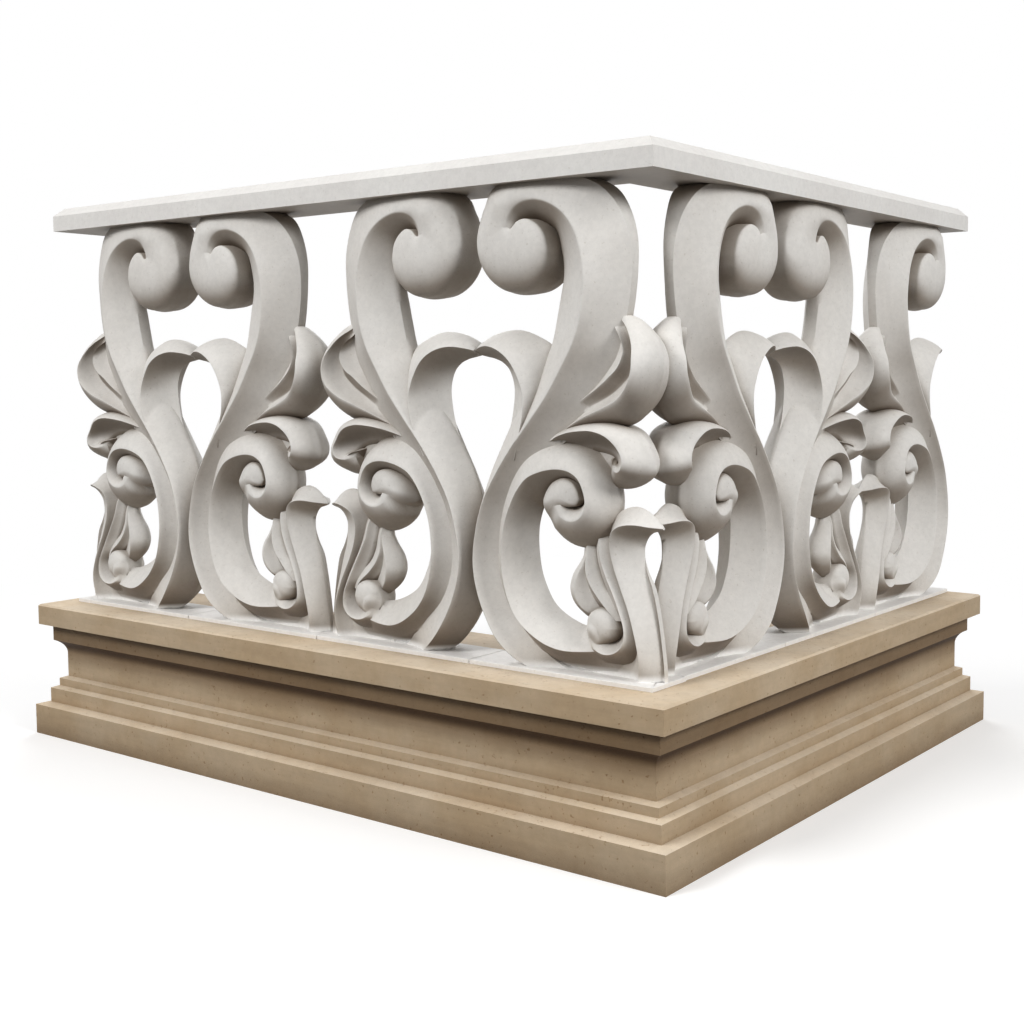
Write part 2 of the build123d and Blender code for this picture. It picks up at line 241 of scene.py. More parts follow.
# ---------------------------------------------------------------------------
# the scrolled baluster
# ---------------------------------------------------------------------------
# rails: inner corner, ridge, outer corner
STEM = [
    [(112, 858, 30), (94, 856, 24), (56, 842, 40)],
    [(103, 874, 22), (87, 874, 12), (28, 860, 34)],
    [(95, 889, 7), (84, 889, 2), (16, 882, 24)],
    [(98, 897, 12), (87, 906, 0), (22, 914, 20)],
    [(107, 903, 19), (97, 920, 0), (40, 946, 15)],
    [(118, 905, 25), (111, 928, 0), (70, 965, 12)],
    [(128, 903, 29), (127, 931, 0), (114, 970, 11)],
    [(138, 898, 32), (144, 930, 0), (158, 968, 11)],
    [(148, 891, 33), (166, 923, 0), (198, 961, 14)],
    [(154, 880, 33), (188, 909, 0), (236, 945, 20)],
    [(158, 863, 33), (206, 886, 0), (263, 914, 27)],
    [(163, 842, 32), (217, 856, 0), (278, 874, 31)],
    [(163, 818, 31), (222, 822, 0), (280, 830, 33)],
    [(159, 796, 30), (221, 795, 0), (276, 792, 33)],
    [(152, 765, 30), (215, 760, 0), (269, 755, 33)],
    [(142, 728, 30), (202, 727, 0), (262, 716, 33)],
    [(122, 692, 30), (181, 693, 0), (244, 676, 32)],
    [(96, 656, 32), (156, 656, 0), (218, 634, 28)],
    [(66, 618, 34), (125, 619, 0), (178, 594, 24)],
    [(38, 573, 36), (86, 574, 0), (126, 555, 20)],
    [(14, 530, 38), (54, 530, 0), (88, 517, 20)],
    [(2, 492, 40), (33, 493, 0), (66, 486, 21)],
    [(0, 450, 40), (19, 448, 0), (51, 446, 21)],
    [(0, 405, 40), (14, 405, 0), (47, 402, 21)],
    [(0, 365, 40), (20, 368, 0), (54, 368, 21)],
    [(8, 330, 38), (36, 329, 0), (74, 333, 21)],
    [(30, 294, 36), (60, 292, 1), (106, 306, 21)],
    [(58, 266, 36), (90, 265, 9), (132, 278, 25)],
    [(90, 250, 36), (120, 250, 22), (158, 258, 34)],
    [(140, 246, 38), (165, 244, 34), (190, 250, 40)],
    [(190, 244, 40), (205, 242, 40), (220, 246, 42)],
]
# the band's front face is full at the hook, flat on the shoulder and hollow down the belly
STEM_FRONT = [(0, 0.14), (4, 0.14), (6, 0.08), (9, 0.0), (17, -0.03), (19, -0.06), (30, -0.06)]

# rails: channel side, ridge, inner corner
CURL = [
    [(262, 262, 38), (256, 294, 28), (250, 326, 40)],
    [(240, 262, 36), (236, 293, 22), (232, 325, 40)],
    [(212, 262, 34), (212, 290, 15), (212, 322, 40)],
    [(164, 266, 29), (171, 289, 8), (186, 324, 40)],
    [(122, 284, 23), (136, 300, 3), (156, 336, 40)],
    [(84, 316, 22), (101, 325, 0), (134, 353, 40)],
    [(58, 352, 22), (81, 356, 0), (118, 381, 40)],
    [(45, 398, 22), (70, 400, 0), (110, 408, 40)],
    [(44, 434, 22), (70, 433, 0), (107, 440, 40)],
    [(49, 468, 21), (75, 464, 0), (109, 468, 40)],
    [(61, 508, 19), (87, 495, 0), (116, 490, 38)],
    [(79, 540, 17), (101, 518, 0), (127, 502, 36)],
    [(104, 565, 17), (118, 535, 0), (140, 510, 35)],
    [(130, 580, 21), (142, 545, 0), (154, 518, 34)],
    [(165, 587, 26), (172, 550, 0), (174, 524, 32)],
    [(200, 582, 30), (195, 547, 0), (189, 523, 30)],
    [(229, 563, 32), (211, 537, 0), (199, 518, 28)],
    [(246, 536, 33), (220, 520, 0), (206, 511, 25)],
    [(252, 503, 33), (223, 503, 0), (206, 502, 22)],
    [(246, 470, 32), (217, 488, 0), (200, 496, 18)],
    [(228, 449, 30), (206, 480, 1), (193, 493, 14)],
    [(204, 441, 28), (192, 478, 2), (186, 493, 10)],
    [(178, 444, 27), (179, 482, 3), (180, 495, 5)],
    [(156, 456, 26), (168, 490, 4), (176, 500, 5)],
    [(142, 474, 25), (160, 502, 7), (175, 507, 9)],
    [(145, 497, 32), (160, 511, 18), (176, 510, 18)],
]
# how far the channel side of the curl's face is hollowed or filled along it
CURL_BACK = [(0, -0.02), (4, -0.08), (10, -0.08), (13, 0.04), (15, 0.10), (25, 0.10)]

# rails: crest, front ridge, underside
INNER_LEAF = [
    [(92, 560, 40), (90, 560, 6), (34, 565, 40)],
    [(112, 600, 40), (104, 598, 1), (52, 602, 40)],
    [(132, 645, 40), (112, 630, 0), (61, 640, 40)],
    [(142, 690, 40), (112, 656, 0), (62, 668, 40)],
    [(138, 722, 39), (102, 682, 0), (54, 690, 40)],
    [(112, 738, 38), (86, 705, 0), (41, 702, 40)],
    [(76, 749, 37), (63, 720, 2), (26, 708, 40)],
    [(40, 746, 35), (38, 726, 7), (13, 711, 38)],
    [(16, 736, 32), (16, 724, 15), (5, 713, 36)],
    [(2, 724, 30), (2, 720, 23), (1, 715, 32)],
]

# rails: outer side, front rim, valley, inner rim, inner valley
OUTER_LEAF = [
    [(160, 590, 38), (164, 603, 22), (163, 611, 30), (162, 621, 24), (150, 634, 38)],
    [(210, 605, 37), (210, 624, 13), (206, 634, 26), (200, 647, 20), (182, 664, 38)],
    [(248, 611, 36), (248, 639, 10), (243, 653, 30), (232, 666, 18), (204, 690, 37)],
    [(280, 618, 35), (275, 651, 5), (263, 666, 29), (252, 681, 17), (222, 712, 36)],
    [(302, 636, 34), (294, 668, -1), (280, 682, 28), (267, 692, 14), (232, 728, 36)],
    [(317, 664, 33), (302, 687, -2), (287, 697, 28), (276, 706, 13), (238, 740, 36)],
    [(324, 697, 33), (302, 706, 0), (288, 713, 28), (278, 720, 14), (241, 748, 36)],
    [(320, 723, 33), (297, 723, 7), (283, 729, 30), (270, 735, 17), (242, 754, 36)],
    [(306, 743, 33), (284, 743, 17), (270, 747, 32), (257, 748, 25), (240, 760, 36)],
    [(284, 761, 34), (264, 759, 30), (256, 761, 34), (249, 760, 30), (238, 768, 36)],
    [(256, 770, 36), (246, 770, 35), (242, 771, 36), (239, 770, 35), (235, 775, 37)],
]

# rails: outer side, rim, recess
OUTER_CURL = [
    [(112, 582, 38), (126, 576, 30), (138, 564, 36)],
    [(144, 600, 38), (146, 588, 18), (154, 574, 31)],
    [(180, 609, 38), (172, 598, 8), (180, 578, 30)],
    [(222, 615, 38), (203, 604, 2), (205, 578, 32)],
    [(262, 613, 37), (235, 605, 0), (228, 575, 34)],
    [(290, 600, 35), (260, 597, 0), (246, 570, 34)],
    [(304, 581, 33), (276, 581, 3), (257, 564, 30)],
    [(311, 560, 33), (284, 566, 2), (263, 560, 23)],
    [(308, 544, 33), (281, 554, 3), (264, 558, 17)],
    [(292, 532, 34), (272, 549, 8), (260, 558, 15)],
    [(270, 526, 35), (262, 551, 14), (255, 561, 19)],
    [(250, 526, 36), (254, 556, 22), (248, 563, 26)],
]

# rails: fold side, ridge, outer side
FOOT_LEAF = [
    [(262, 250, 38), (296, 250, 22), (331, 250, 44)],
    [(272, 278, 38), (301, 276, 17), (330, 276, 44)],
    [(280, 302, 38), (300, 302, 14), (327, 302, 44)],
    [(276, 326, 38), (294, 326, 14), (323, 330, 44)],
    [(264, 352, 38), (284, 354, 16), (318, 358, 44)],
    [(250, 384, 38), (269, 386, 18), (311, 386, 44)],
    [(240, 415, 38), (257, 416, 18), (301, 408, 42)],
    [(236, 446, 38), (252, 444, 16), (296, 428, 40)],
    [(242, 476, 36), (258, 464, 12), (296, 444, 40)],
    [(260, 493, 36), (274, 474, 9), (302, 457, 40)],
    [(284, 499, 38), (294, 477, 12), (310, 464, 40)],
    [(306, 491, 39), (312, 474, 22), (317, 466, 40)],
    [(327, 473, 40), (327, 471, 37), (327, 469, 40)],
]

# rails: left side, ridge, right side
FOLD_LARGE = [
    [(214, 466, 38), (224, 466, 34), (236, 466, 38)],
    [(218, 448, 32), (228, 448, 23), (242, 448, 32)],
    [(221, 424, 30), (234, 422, 20), (248, 424, 30)],
    [(230, 398, 29), (245, 398, 18), (258, 400, 29)],
    [(242, 374, 28), (258, 374, 17), (271, 376, 28)],
    [(254, 352, 27), (270, 350, 15), (283, 352, 27)],
    [(264, 331, 33), (278, 328, 13), (291, 328, 27)],
    [(263, 315, 32), (277, 308, 12), (289, 303, 28)],
    [(257, 307, 30), (266, 296, 11), (275, 282, 30)],
    [(248, 304, 26), (252, 291, 11), (254, 276, 31)],
    [(239, 305, 21), (237, 292, 12), (230, 277, 31)],
    [(232, 311, 17), (224, 299, 13), (212, 288, 31)],
    [(230, 318, 16), (217, 311, 15), (203, 305, 32)],
]
FOLD_MIDDLE = [
    [(190, 466, 44), (202, 466, 40), (214, 466, 44)],
    [(194, 448, 38), (203, 448, 31), (214, 448, 36)],
    [(194, 428, 34), (205, 428, 25), (217, 428, 32)],
    [(193, 404, 33), (205, 404, 23), (221, 406, 31)],
    [(201, 382, 32), (214, 384, 22), (231, 386, 30)],
    [(217, 362, 31), (229, 367, 21), (247, 370, 28)],
    [(236, 349, 30), (245, 353, 19), (261, 354, 27)],
    [(250, 338, 30), (258, 338, 22), (270, 338, 28)],
]
FOLD_SMALL = [
    [(198, 458, 44), (206, 458, 40), (214, 458, 44)],
    [(197, 436, 36), (205, 436, 29), (214, 436, 34)],
    [(190, 416, 32), (200, 414, 24), (211, 416, 32)],
    [(178, 396, 29), (191, 394, 20), (210, 396, 32)],
    [(173, 376, 29), (188, 374, 19), (212, 380, 32)],
    [(178, 356, 32), (194, 355, 22), (216, 362, 32)],
    [(190, 342, 36), (205, 343, 28), (224, 350, 34)],
    [(202, 333, 40), (214, 336, 36), (230, 342, 38)],
]
# rails: inner side, middle, outer side of the stone behind the drape
FOOT_CORE = [
    [(190, 246, 42), (250, 246, 38), (326, 246, 41)],
    [(196, 268, 42), (250, 268, 37), (320, 270, 41)],
    [(205, 296, 40), (252, 298, 34), (308, 306, 40)],
    [(206, 340, 44), (240, 342, 38), (296, 346, 42)],
    [(200, 380, 46), (226, 382, 40), (284, 384, 42)],
    [(206, 420, 46), (226, 420, 40), (276, 420, 42)],
    [(212, 460, 46), (232, 460, 42), (272, 460, 42)],
    [(226, 482, 46), (240, 482, 43), (266, 482, 42)],
]
# rails: lower edge, middle, upper edge of the stone between the curl and the leaf above it
CURL_WEB = [
    [(214, 540, 38), (206, 568, 36), (204, 596, 38)],
    [(246, 536, 38), (236, 562, 35), (236, 597, 38)],
    [(270, 536, 38), (262, 560, 36), (262, 590, 38)],
]

# rims of the domed ends, from the right over the top and back below
TOP_BALL = [
    (152, 860, 13), (147, 883, 11), (135, 898, 9), (118, 906, 6), (103, 903, 4), (91, 893, 3),
    (80, 906, 6), (64, 930, 12), (38, 934, 18), (20, 908, 23), (14, 878, 24), (20, 848, 25),
    (38, 822, 27), (64, 806, 29), (92, 802, 30), (118, 806, 27), (137, 819, 22), (148, 838, 16),
]
EYE_BALL = [
    (206, 508, 11), (202, 522, 10), (193, 532, 11), (178, 537, 14), (162, 535, 20), (146, 528, 28),
    (134, 516, 34), (126, 501, 37), (127, 487, 37), (137, 479, 35), (157, 481, 26), (175, 495, 10),
    (190, 497, 9), (201, 499, 10),
]
FOOT_BALL = [
    (264, 327, 33), (259, 343, 32), (247, 353, 31), (231, 354, 29), (215, 347, 28), (206, 332, 29),
    (205, 316, 28), (214, 303, 25), (229, 300, 20), (241, 303, 25), (256, 310, 31),
]


def slab(name, u0, u1, z0, z1, y0, y1):
    """Thin plate with softened upper edges, in metres."""
    middle_u, middle_y = (u0 + u1) / 2, (y0 + y1) / 2
    rings = []
    for z, inset in ((z0, 0), (z1 - PLATE_EDGE, 0), (z1, PLATE_EDGE)):
        rings.append([(u + math.copysign(inset, middle_u - u), y + math.copysign(inset, middle_y - y), z)
                      for u, y in ((u0, y0), (u1, y0), (u1, y1), (u0, y1))])
    return make_mesh(name, rings)


def carve():
    """The pieces of one scroll, overlapping: bands with their rails, the points along them and
    the (points, bulge) of each face, and cushions with their rim, centre and crown."""
    return [
        band("stem", STEM, 170, [(10, 0.03), (12, STEM_FRONT)], side_bulge=0.08),
        band("curl", CURL, 150, [(9, CURL_BACK), (8, 0.0)]),
        band("inner_leaf", INNER_LEAF, 48, [(10, 0.06), (10, -0.08)], side=1, side_bulge=0.1),
        band("outer_leaf", OUTER_LEAF, 60, [(10, 0.12), (6, -0.10), (6, -0.02), (8, -0.14)]),
        band("outer_curl", OUTER_CURL, 48, [(10, 0.12), (9, -0.15)]),
        band("foot_core", FOOT_CORE, 24, [(5, 0.05), (5, 0.05)]),
        band("curl_web", CURL_WEB, 12, [(5, 0.0), (5, 0.0)]),
        band("foot_leaf", FOOT_LEAF, 52, [(8, -0.08), (9, 0.04)], side=1, side_bulge=0.1),
        band("fold_large", FOLD_LARGE, 44, [(7, -0.05), (5, 0.02)]),
        band("fold_middle", FOLD_MIDDLE, 30, [(7, -0.05), (5, 0.02)]),
        band("fold_small", FOLD_SMALL, 28, [(7, 0.05), (5, -0.05)]),
        cushion("top_ball", TOP_BALL, (90, 864), -1, power=2.5, turns=96, rings=20),
        cushion("eye_ball", EYE_BALL, (172, 511), 3, power=2.0),
        cushion("foot_ball", FOOT_BALL, (234, 327), 13),
    ]


def combine(base, operation, others):
    """Mesh of the base object after one boolean operation with each of the others."""
    for other in others:
        modifier = base.modifiers.new(operation.lower(), "BOOLEAN")
        modifier.operation = operation
        modifier.solver = "MANIFOLD"
        modifier.object = other
    graph = bpy.context.evaluated_depsgraph_get()
    mesh = bpy.data.meshes.new_from_object(base.evaluated_get(graph))
    base.modifiers.clear()
    return mesh


def unite(pieces, name):
    """One mesh of all the pieces, which are used up."""
    mesh = combine(pieces[0], "UNION", pieces[1:])
    mesh.name = name
    for piece in pieces:
        bpy.data.objects.remove(piece)
    return mesh


# what counts as facing the front or back, and the two steps of one round of smoothing
FACING = 0.3
STEP_IN, STEP_OUT = 0.5, -0.52


def draw_onto_cubic(rows):
    """Moves vertices in depth onto the cubic surface that fits them best; a row holds a vertex,
    its place across and along the ellipse, and the share of the way that it goes."""
    terms = np.array([[a**i * b**j for i in range(4) for j in range(4 - i)] for _, a, b, _ in rows])
    depths = np.array([vertex.co.y for vertex, _, _, _ in rows])
    fitted = terms @ np.linalg.lstsq(terms, depths, rcond=None)[0]
    for (vertex, _, _, share), depth in zip(rows, fitted):
        vertex.co.y += (depth - vertex.co.y) * share


def even_out(rows, rounds):
    """Smooths by steps towards the neighbours' mean and back out, which keeps the volume."""
    links = [(vertex, [edge.other_vert(vertex) for edge in vertex.link_edges], share)
             for vertex, _, _, share in rows]
    for step in (STEP_IN, STEP_OUT) * rounds:
        targets = [vertex.co.lerp(sum((v.co for v in around), Vector()) / len(around), step * share)
                   for vertex, around, share in links]
        for (vertex, _, _), target in zip(links, targets):
            vertex.co = target


def ease(mesh, centre, reach, rounds, lean=1.0):
    """Inside an ellipse of bay millimetres, front and back, draws the face onto one smooth
    surface and evens out what is left, so that no seam shows.  What leans towards the outer
    joint by more than lean is a neighbour's flank, and keeps its shape."""
    work = bmesh.new()
    work.from_mesh(mesh)
    work.normal_update()
    for side in (-1, 1):
        inside = []
        for vertex in work.verts:
            a = (vertex.co.x / MILLIMETRE - centre[0]) / reach[0]
            b = (vertex.co.z / MILLIMETRE - centre[1]) / reach[1]
            weight = 1 - a**2 - b**2
            if weight > 0 and vertex.co.y * side > 0:
                inside.append((vertex, a, b, min(1.0, 2.0 * weight)))
        draw_onto_cubic([row for row in inside
                         if row[0].normal.y * side > FACING and row[0].normal.x <= lean])
        even_out(inside, rounds)
    work.to_mesh(mesh)
    work.free()


def trim(mesh, height, above=True):
    """Cuts the mesh flat at a height and closes it."""
    work = bmesh.new()
    work.from_mesh(mesh)
    everything = work.verts[:] + work.edges[:] + work.faces[:]
    outward = (0, 0, 1 if above else -1)
    cut = bmesh.ops.bisect_plane(work, geom=everything, plane_co=(0, 0, height), plane_no=outward,
                                 clear_outer=True)
    edges = [e for e in cut["geom_cut"] if isinstance(e, bmesh.types.BMEdge)]
    bmesh.ops.holes_fill(work, edges=edges)
    bmesh.ops.triangulate(work, faces=[f for f in work.faces if len(f.verts) > 4])
    work.to_mesh(mesh)
    work.free()


# the seams of the top ball with the hook, of the foot ball with the drape and of the eye
# with the curl are eased; the scroll ends at the rail and inside its plate
scroll = unite(carve(), "scroll")
ease(scroll, centre=(40, 903), reach=(44, 44), rounds=12)
ease(scroll, centre=(211, 314), reach=(26, 22), rounds=20)
ease(scroll, centre=(138, 488), reach=(38, 27), rounds=20, lean=0.2)
trim(scroll, RAIL_BOTTOM)
trim(scroll, PLATE_BOTTOM + 0.5 * PLATE_THICKNESS, above=False)

# edges sharper than this stay crisp in the shading
CREASE_ANGLE = math.radians(42)


def baluster(name, matrix, turned, forward, plate_end=BAY, cutter=None):
    """One baluster with its plate, put in its bay; what the cutter fills is taken away."""
    plate = slab("plate", PLATE_GAP, plate_end - PLATE_GAP, PLATE_BOTTOM, PLATE_TOP,
                 -PLATE_HALF, PLATE_HALF)
    body = bpy.data.objects.new(name, scroll.copy())
    body.data.transform(Matrix.Translation((0, forward, 0)))
    scene.collection.objects.link(body)
    bpy.context.view_layer.update()
    mesh = unite([body, plate], name)
    if turned:
        mesh.transform(Matrix.Scale(-1, 4, (1, 0, 0)))
        mesh.flip_normals()
    mesh.transform(matrix)
    piece = bpy.data.objects.new(name + "_carved", mesh)
    scene.collection.objects.link(piece)
    if cutter is not None:
        piece.data = combine(piece, "DIFFERENCE", [cutter])
    piece.data.shade_smooth()
    piece.data.set_sharp_from_angle(angle=CREASE_ANGLE)
    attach(piece, "root")
    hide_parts(name)
    return piece


balusters = {}
for number, name in enumerate(LEFT_NAMES):
    shift = Matrix.Translation((JOINT_LEFT - 2 * (number // 2) * BAY, 0, 0))
    balusters[name] = baluster(name, shift, number % 2 == 1, -FORWARD)
quarter_turn = Matrix.Rotation(math.radians(-90), 4, "Z")
for number, name in enumerate(RIGHT_NAMES):
    shift = Matrix.Translation((0, JOINT_RIGHT + 2 * (number // 2) * BAY, 0)) @ quarter_turn
    corner = {}
    if number == 0:
        corner = {"plate_end": JOINT_RIGHT - PLATE_HALF, "cutter": balusters[LEFT_NAMES[0]]}
    balusters[name] = baluster(name, shift, number % 2 == 1, FORWARD, **corner)


# ---------------------------------------------------------------------------
# materials
# ---------------------------------------------------------------------------
# height in metres over which the paler base, partly its own colour and partly painted light, passes into
# the rest
BED_FADE = 0.012


def tone(red, green, blue):
    """Linear colour of an sRGB colour written in 0 to 255."""
    shares = [c / 255 for c in (red, green, blue)]
    return tuple(c / 12.92 if c <= 0.04045 else ((c + 0.055) / 1.055) ** 2.4 for c in shares) + (1.0,)


def stone(name, light, dark, patches, pores, pore_tone, relief, roughness, painted_shade, hollow=0.045,
          side=None, strata=0.0, bed=None, ledge_shadow=None):
    """Matte stone: cloudy colour from dark to light, pores, fine grain, and painted shade in the
    tone shelter on faces that look down and in hollows up to the width hollow.  patches and pores
    are the numbers of clouds and pores per metre, relief the height of the bump in metres.
    side is painted shade that darkens upright faces against the tops, strata draws faint level
    layers, bed is the level and tone of a paler base, partly its own colour and partly painted
    light against the shade round the feet, and overhung the two levels between which a painted shadow under
    a ledge sets in, and its tone."""
    material = bpy.data.materials.new(name)
    material.use_nodes = True
    nodes, links = material.node_tree.nodes, material.node_tree.links
    shader = nodes["Principled BSDF"]
    where = nodes.new("ShaderNodeTexCoord").outputs["Object"]

    def noise(scale, detail, rough=0.55, squash=1.0):
        texture = nodes.new("ShaderNodeTexNoise")
        texture.inputs["Scale"].default_value = scale
        texture.inputs["Detail"].default_value = detail
        texture.inputs["Roughness"].default_value = rough
        vector = where
        if squash != 1.0:
            layer = nodes.new("ShaderNodeMapping")
            layer.inputs["Scale"].default_value = (1, 1, squash)
            links.new(where, layer.inputs["Vector"])
            vector = layer.outputs["Vector"]
        links.new(vector, texture.inputs["Vector"])
        return texture.outputs["Fac"]

    def ramp(value, low, high, start=0.0, end=1.0):
        reach = nodes.new("ShaderNodeMapRange")
        reach.interpolation_type = "SMOOTHSTEP"
        for key, number in (("From Min", low), ("From Max", high), ("To Min", start), ("To Max", end)):
            reach.inputs[key].default_value = number
        links.new(value, reach.inputs["Value"])
        return reach.outputs["Result"]

    def blend(factor, first, second, kind="MIX"):
        mix = nodes.new("ShaderNodeMix")
        mix.data_type = "RGBA"
        mix.blend_type = kind
        for socket, value in ((0, factor), (6, first), (7, second)):
            if isinstance(value, (tuple, float)):
                mix.inputs[socket].default_value = value
            else:
                links.new(value, mix.inputs[socket])
        return mix.outputs[2]

    def upward(vector):
        parts = nodes.new("ShaderNodeSeparateXYZ")
        links.new(vector, parts.inputs["Vector"])
        return parts.outputs["Z"]

    geometry = nodes.new("ShaderNodeNewGeometry")
    colour = blend(ramp(noise(patches, 5.0, 0.6), 0.32, 0.68), dark, light)
    # painted shade: upright faces are darkened against the tops, where the light falls on them less
    if side is not None:
        upright = ramp(upward(geometry.outputs["True Normal"]), 0.25, 0.85, 1.0, 0.0)
        colour = blend(upright, colour, side, "MULTIPLY")
    # painted shade: faces that look down are darkened towards the shelter tone
    overhead = ramp(upward(geometry.outputs["Normal"]), -0.6, 0.1, 1.0, 0.0)
    colour = blend(overhead, colour, painted_shade, "MULTIPLY")
    # painted shade in creases and hollows, found by ambient occlusion up to the width hollow
    crevice_shade = nodes.new("ShaderNodeAmbientOcclusion")
    crevice_shade.samples = 6
    crevice_shade.inputs["Distance"].default_value = hollow
    colour = blend(ramp(crevice_shade.outputs["AO"], 0.2, 0.85, 1.0, 0.0), colour, painted_shade, "MULTIPLY")
    # partly painted light: below the level the plate takes one paler tone, partly its own colour, with none
    # of the painted shade above
    if bed is not None:
        level, bed_tone = bed
        colour = blend(ramp(upward(where), level, level + BED_FADE, 1.0, 0.0), colour, bed_tone)
    # painted shadow under a ledge: darker from the lower level up, fully at and above the upper one
    if ledge_shadow is not None:
        lowest, full, ledge_shadow_tone = ledge_shadow
        colour = blend(ramp(upward(where), lowest, full), colour, ledge_shadow_tone, "MULTIPLY")
    if strata:
        layers = ramp(noise(7.0, 4.0, 0.6, 9.0), 0.35, 0.65, 1 - strata, 1.0)
        colour = blend(1.0, colour, layers, "MULTIPLY")
    pits = ramp(noise(pores, 3.0, 0.6), 0.28, 0.38)
    mottle = ramp(noise(pores * 0.45, 4.0, 0.7), 0.30, 0.70, 0.93, 1.0)
    colour = blend(1.0, colour, mottle, "MULTIPLY")
    colour = blend(ramp(pits, 0.0, 1.0, 1.0, 0.0), colour, pore_tone, "MULTIPLY")
    links.new(colour, shader.inputs["Base Color"])

    grain = noise(520.0, 2.0)
    surface = nodes.new("ShaderNodeMath")
    surface.operation = "MULTIPLY_ADD"
    surface.inputs[1].default_value = 0.4
    links.new(grain, surface.inputs[0])
    links.new(pits, surface.inputs[2])
    bump = nodes.new("ShaderNodeBump")
    bump.inputs["Strength"].default_value = 0.5
    bump.inputs["Distance"].default_value = relief
    links.new(surface.outputs["Value"], bump.inputs["Height"])
    links.new(bump.outputs["Normal"], shader.inputs["Normal"])
    links.new(ramp(grain, 0.3, 0.7, roughness - 0.07, roughness + 0.07), shader.inputs["Roughness"])
    shader.inputs["Specular IOR Level"].default_value = 0.3
    return material


# plinth stone: side is painted shade on upright faces, shelter painted shade on faces that look down and in
# hollows
plinth_look = {
    "light": tone(236, 219, 195), "dark": tone(222, 201, 172), "patches": 6.0,
    "pores": 150.0, "pore_tone": tone(216, 203, 186), "relief": 0.0008, "roughness": 0.72,
    "painted_shade": tone(132, 114, 94), "hollow": 0.07, "side": tone(224, 216, 204), "strata": 0.08,
}
plinth_stone = stone("plinth_limestone", **plinth_look)
# painted shadow of the cap: the cornice and the top of the dado are darkened between these levels
ledge_shadow_levels = (CORNICE_BOTTOM - 0.035, CORNICE_BOTTOM + 0.012)
ledge_shadowed_stone = stone("ledge_shadowed_limestone", **plinth_look,
                        ledge_shadow=(*ledge_shadow_levels, tone(172, 162, 150)))
# carved stone: shelter is painted shade on faces that look down and in hollows; bed paints the plate paler,
# partly as painted light
baluster_stone = stone(
    "carved_stone", light=tone(238, 235, 230), dark=tone(230, 226, 220), patches=5.0,
    pores=240.0, pore_tone=tone(240, 238, 235), relief=0.0003, roughness=0.62,
    painted_shade=tone(174, 165, 156), hollow=0.06, bed=(PLATE_TOP + 0.001, tone(248, 246, 243)))
# rail stone: shelter is painted shade on faces that look down and in hollows
rail_stone = stone(
    "rail_stone", light=tone(242, 240, 236), dark=tone(236, 233, 229), patches=5.0,
    pores=240.0, pore_tone=tone(244, 242, 240), relief=0.0003, roughness=0.58,
    painted_shade=tone(192, 185, 178))


def paint(piece, material):
    """Gives the piece this one material."""
    piece.data.materials.clear()
    piece.data.materials.append(material)


for name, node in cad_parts.items():
    if name.startswith("handrail"):
        paint(node, rail_stone)
    # the cornice and the dado get the copy of the plinth stone with the painted shadow under the cap
    elif name.startswith(("cornice", "dado")):
        paint(node, ledge_shadowed_stone)
    elif not name.startswith("baluster"):
        paint(node, plinth_stone)
for piece in balusters.values():
    paint(piece, baluster_stone)

# ---------------------------------------------------------------------------
# camera: it looks along YAW and PITCH, turned by ROLL about its own axis
# ---------------------------------------------------------------------------
YAW, PITCH, ROLL = 0.63352, 0.07614, -0.00509
CAMERA_PLACE = (1.08812, -1.59890, 0.68931)
forward = Vector((-math.sin(YAW) * math.cos(PITCH), math.cos(YAW) * math.cos(PITCH), -math.sin(PITCH)))
right = Vector((math.cos(YAW), math.sin(YAW), 0))
up = right.cross(forward)
right, up = right * math.cos(ROLL) + up * math.sin(ROLL), up * math.cos(ROLL) - right * math.sin(ROLL)
camera_data = bpy.data.cameras.new("camera")
camera_data.sensor_width = 36
camera_data.lens = 48.785
camera_data.shift_x = -0.07813
camera_data.shift_y = -0.03454
camera_data.clip_end = 100
camera = bpy.data.objects.new("camera", camera_data)
camera.matrix_world = Matrix.Translation(CAMERA_PLACE) @ Matrix((right, up, -forward)).transposed().to_4x4()
scene.collection.objects.link(camera)
scene.camera = camera

# ---------------------------------------------------------------------------
# floor and light
# ---------------------------------------------------------------------------
FLOOR_REACH = 30
FLOOR_TONE = 0.85
FLOOR_LIFT = 0.25
FLOOR_BOUNCE = 0.22
SHADOW_REACH = (1.6, 3.2)
floor_mesh = bpy.data.meshes.new("floor")
corners = ((-1, -1), (1, -1), (1, 1), (-1, 1))
floor_mesh.from_pydata([(x * FLOOR_REACH, y * FLOOR_REACH, 0) for x, y in corners], [], [(0, 1, 2, 3)])
floor = bpy.data.objects.new("floor", floor_mesh)
scene.collection.objects.link(floor)


def seen(nodes, links):
    """1 for the rays that show the background: camera, mirror and glass rays."""
    path = nodes.new("ShaderNodeLightPath")
    total = path.outputs["Is Camera Ray"]
    for other in ("Is Glossy Ray", "Is Transmission Ray"):
        add = nodes.new("ShaderNodeMath")
        add.operation = "ADD"
        add.use_clamp = True
        links.new(total, add.inputs[0])
        links.new(path.outputs[other], add.inputs[1])
        total = add.outputs["Value"]
    return total


def choose(nodes, links, factor, first, second):
    """Mix of two shaders or backgrounds."""
    mix = nodes.new("ShaderNodeMixShader")
    for socket, output in enumerate((factor, first, second)):
        links.new(output, mix.inputs[socket])
    return mix.outputs["Shader"]


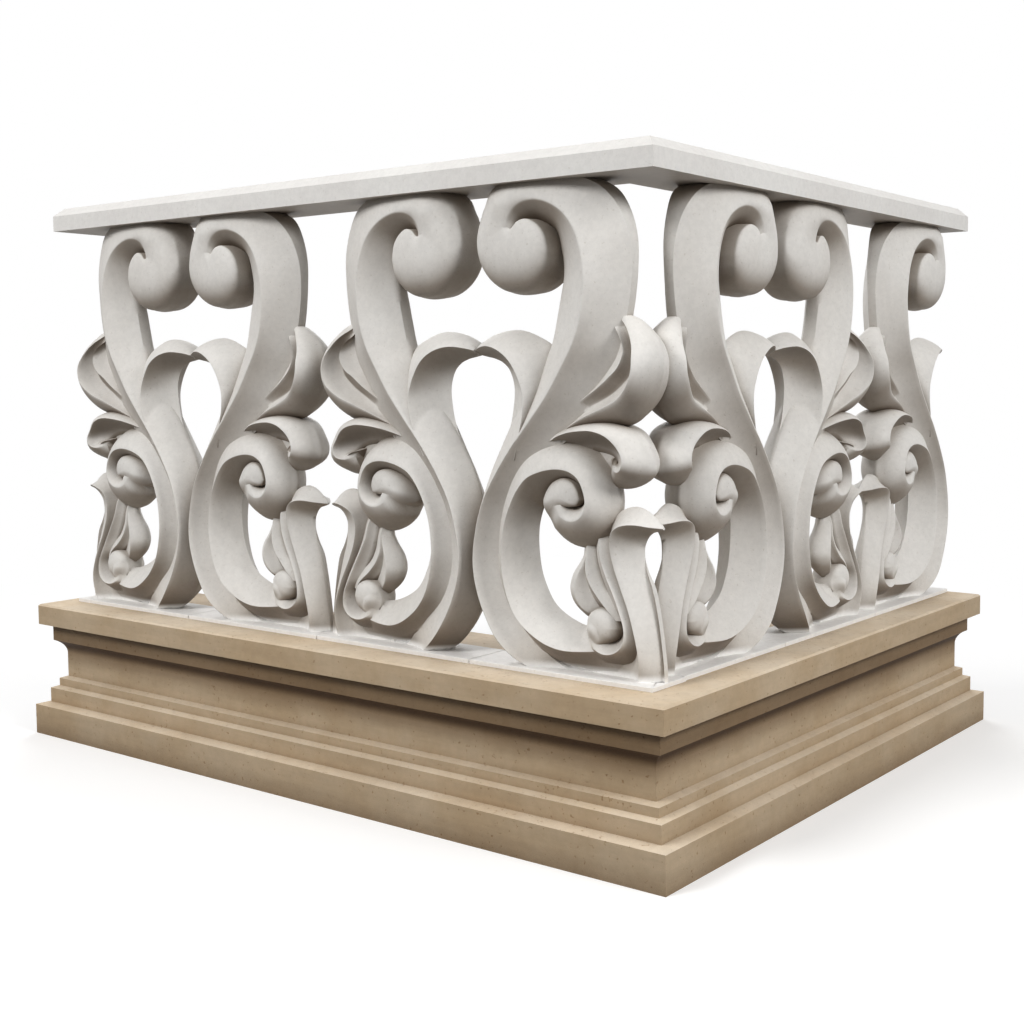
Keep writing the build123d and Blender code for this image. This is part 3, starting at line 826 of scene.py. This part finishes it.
def floor_material():
    """Pale floor: seen nearly white with the object's shadow, plain white farther off than
    SHADOW_REACH; to all other rays it is duller, so that it throws little light back up."""
    material = bpy.data.materials.new("floor")
    material.use_nodes = True
    nodes, links = material.node_tree.nodes, material.node_tree.links
    nodes.clear()
    dull = nodes.new("ShaderNodeBsdfDiffuse")
    dull.inputs["Color"].default_value = (FLOOR_BOUNCE, FLOOR_BOUNCE, FLOOR_BOUNCE, 1)
    pale = nodes.new("ShaderNodeBsdfDiffuse")
    pale.inputs["Color"].default_value = (FLOOR_TONE, FLOOR_TONE, FLOOR_TONE, 1)
    lift = nodes.new("ShaderNodeEmission")
    lift.inputs["Strength"].default_value = FLOOR_LIFT
    near = nodes.new("ShaderNodeAddShader")
    links.new(pale.outputs["BSDF"], near.inputs[0])
    links.new(lift.outputs["Emission"], near.inputs[1])
    white = nodes.new("ShaderNodeEmission")
    length = nodes.new("ShaderNodeVectorMath")
    length.operation = "LENGTH"
    links.new(nodes.new("ShaderNodeTexCoord").outputs["Object"], length.inputs[0])
    fade = nodes.new("ShaderNodeMapRange")
    fade.interpolation_type = "SMOOTHSTEP"
    fade.inputs["From Min"].default_value, fade.inputs["From Max"].default_value = SHADOW_REACH
    links.new(length.outputs["Value"], fade.inputs["Value"])
    view = choose(nodes, links, fade.outputs["Result"],
                  near.outputs["Shader"], white.outputs["Emission"])
    both = choose(nodes, links, seen(nodes, links), dull.outputs["BSDF"], view)
    links.new(both, nodes.new("ShaderNodeOutputMaterial").inputs["Surface"])
    return material


floor_mesh.materials.append(floor_material())


def studio(zenith, horizon):
    """Soft dome, brightest overhead; the background itself is seen white."""
    world = bpy.data.worlds.new("studio")
    scene.world = world
    world.use_nodes = True
    nodes, links = world.node_tree.nodes, world.node_tree.links
    dome = nodes["Background"]
    dome.inputs["Color"].default_value = (1, 1, 1, 1)
    split = nodes.new("ShaderNodeSeparateXYZ")
    links.new(nodes.new("ShaderNodeTexCoord").outputs["Generated"], split.inputs["Vector"])
    rise = nodes.new("ShaderNodeMapRange")
    rise.inputs["To Min"].default_value = horizon
    rise.inputs["To Max"].default_value = zenith
    links.new(split.outputs["Z"], rise.inputs["Value"])
    links.new(rise.outputs["Result"], dome.inputs["Strength"])
    white = nodes.new("ShaderNodeBackground")
    white.inputs["Color"].default_value = (1, 1, 1, 1)
    white.inputs["Strength"].default_value = 1.0
    both = choose(nodes, links, seen(nodes, links),
                  dome.outputs["Background"], white.outputs["Background"])
    links.new(both, nodes["World Output"].inputs["Surface"])


studio(zenith=0.56, horizon=0.05)


def lamp(name, position, target, size, power):
    """Round soft lamp, size metres wide, of power watts."""
    data = bpy.data.lights.new(name, "AREA")
    data.shape = "DISK"
    data.size = size
    data.energy = power
    light = bpy.data.objects.new(name, data)
    light.location = position
    light.rotation_euler = (Vector(target) - Vector(position)).to_track_quat("-Z", "Y").to_euler()
    scene.collection.objects.link(light)


lamp("front", (-1.2, -3.3, 3.0), (-0.4, 0.1, 0.6), 1.6, 100)
lamp("right", (3.5, -0.1, 2.5), (0.0, 0.4, 0.6), 1.6, 94)
lamp("back", (-2.8, 3.0, 2.3), (-0.3, 0.3, 0.5), 2.4, 54)

scene.view_settings.view_transform = "Standard"
